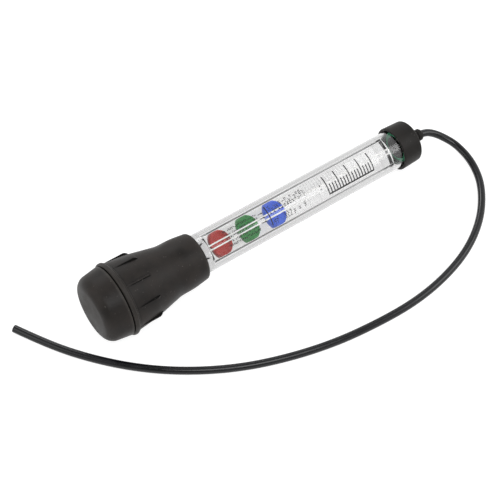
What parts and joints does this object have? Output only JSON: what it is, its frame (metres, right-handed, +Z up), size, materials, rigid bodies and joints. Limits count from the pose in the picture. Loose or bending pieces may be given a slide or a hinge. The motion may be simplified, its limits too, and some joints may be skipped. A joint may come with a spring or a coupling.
{
  "type": "diesel exhaust fluid tester",
  "caption": "Hand-held fluid tester: a rubber squeeze bulb on a clear barrel with floating coloured discs, and a capped end with a long pick-up hose.",
  "frame": {"origin": "On the floor below the middle of the tool's length, hose left out; the tool rests on its bulb's ring and on the far edge of its end cap.", "axes": "+X along the tool from the bulb to the hose nozzle, in plan; +Z up; -Y to the side where the hose lies and from which the print side shows."},
  "size_m": [0.3061, 0.1252, 0.0468],
  "materials": {
    "bulb_rubber": "matte dark grey moulded rubber",
    "clear_plastic": "clear polished acrylic",
    "red_plastic": "satin brick red",
    "green_plastic": "satin leaf green",
    "blue_plastic": "satin mid blue",
    "stopper_rubber": "matte black moulded rubber",
    "cap_rubber": "matte dark grey moulded rubber",
    "seal_rubber": "matte green rubber",
    "hose_rubber": "smooth black rubber with a soft shine"
  },
  "bodies": {
    "barrel": {"barrel": "clear_plastic", "stopper": "stopper_rubber", "seal_ring": "seal_rubber"},
    "bulb": {"squeeze_bulb": "bulb_rubber"},
    "cap": {"end_cap": "cap_rubber", "hose": "hose_rubber"},
    "red_float": {"red_disc": "red_plastic"},
    "green_float": {"green_disc": "green_plastic"},
    "blue_float": {"blue_disc": "blue_plastic"}
  },
  "joints": [
    {"name": "bulb_pull", "type": "slide", "parent": "barrel", "child": "bulb", "axis": [-0.999, 0, 0.0439], "range_m": [0, 0.01]},
    {"name": "cap_pull", "type": "slide", "parent": "barrel", "child": "cap", "axis": [0.999, 0, -0.0439], "range_m": [0, 0.006]},
    {"name": "red_slide", "type": "slide", "parent": "barrel", "child": "red_float", "axis": [0.999, 0, -0.0439], "range_m": [-0.0016, 0.003]},
    {"name": "green_slide", "type": "slide", "parent": "barrel", "child": "green_float", "axis": [0.999, 0, -0.0439], "range_m": [-0.0031, 0.003]},
    {"name": "blue_slide", "type": "slide", "parent": "barrel", "child": "blue_float", "axis": [0.999, 0, -0.0439], "range_m": [-0.0028, 0.0795]}
  ]
}
